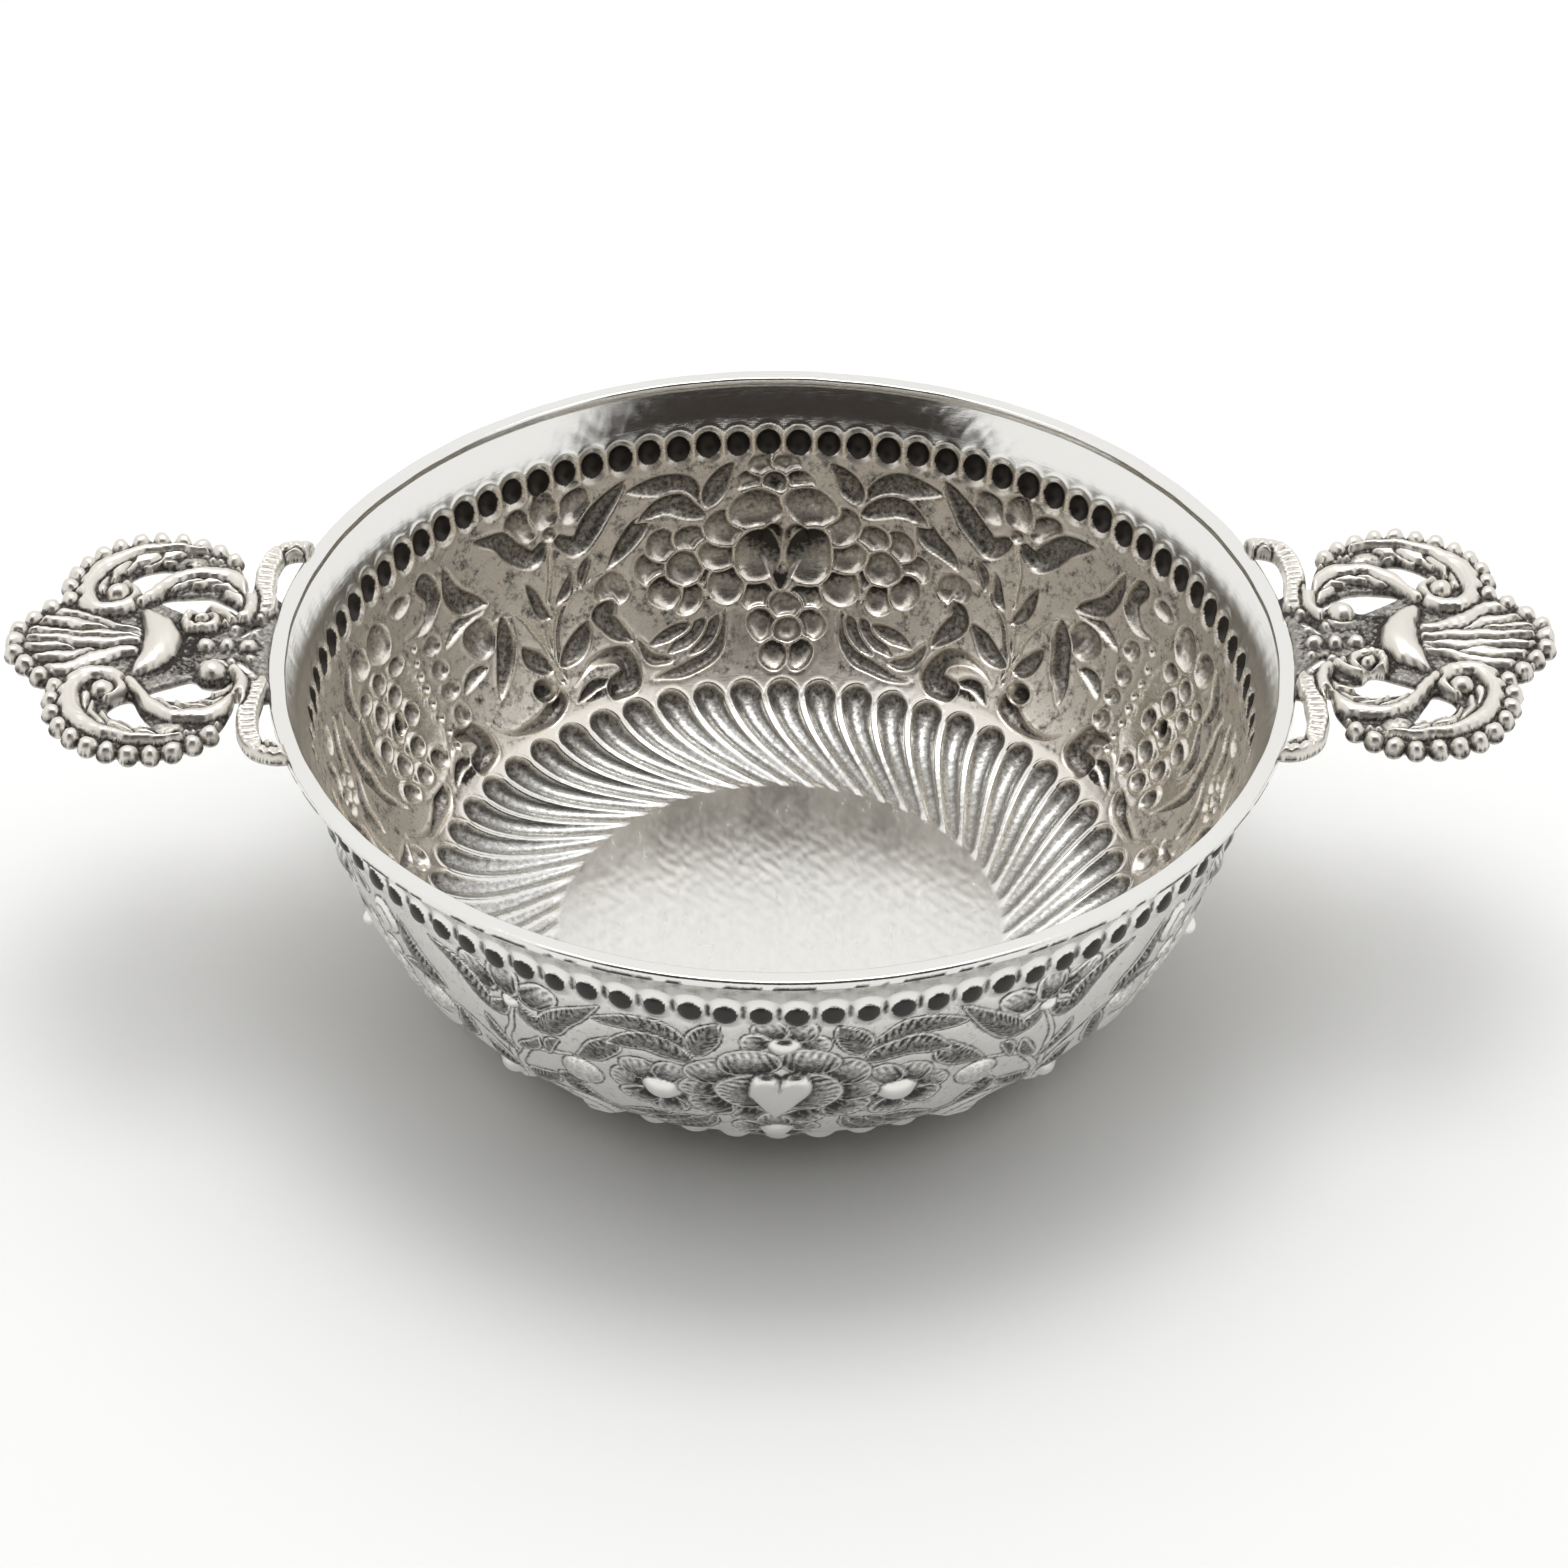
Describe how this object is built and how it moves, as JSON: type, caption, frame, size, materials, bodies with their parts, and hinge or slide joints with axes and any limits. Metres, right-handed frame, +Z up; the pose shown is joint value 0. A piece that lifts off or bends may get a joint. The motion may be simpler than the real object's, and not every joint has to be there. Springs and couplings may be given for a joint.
{
  "type": "brandy bowl",
  "caption": "Round two-handled drinking bowl in embossed sheet silver with a flat floor, swirling gadroons, a beaded ring and cast openwork handles.",
  "frame": {"origin": "on the table under the middle of the bowl", "axes": "+X towards the right handle, +Z up out of the bowl's mouth, and the flower clusters face +Y and -Y"},
  "size_m": [0.2204, 0.146, 0.0549],
  "materials": {
    "sheet_silver": "raised and embossed silver sheet, polished high parts over a brown-grey oxidised ground",
    "wire_silver": "polished silver wire",
    "cast_silver": "cast and chased silver, polished high parts over oxidised recesses"
  },
  "bodies": {
    "root": {"bowl_body": "sheet_silver", "rim_wire": "wire_silver", "handle_right": "cast_silver", "handle_left": "cast_silver"}
  },
  "joints": []
}
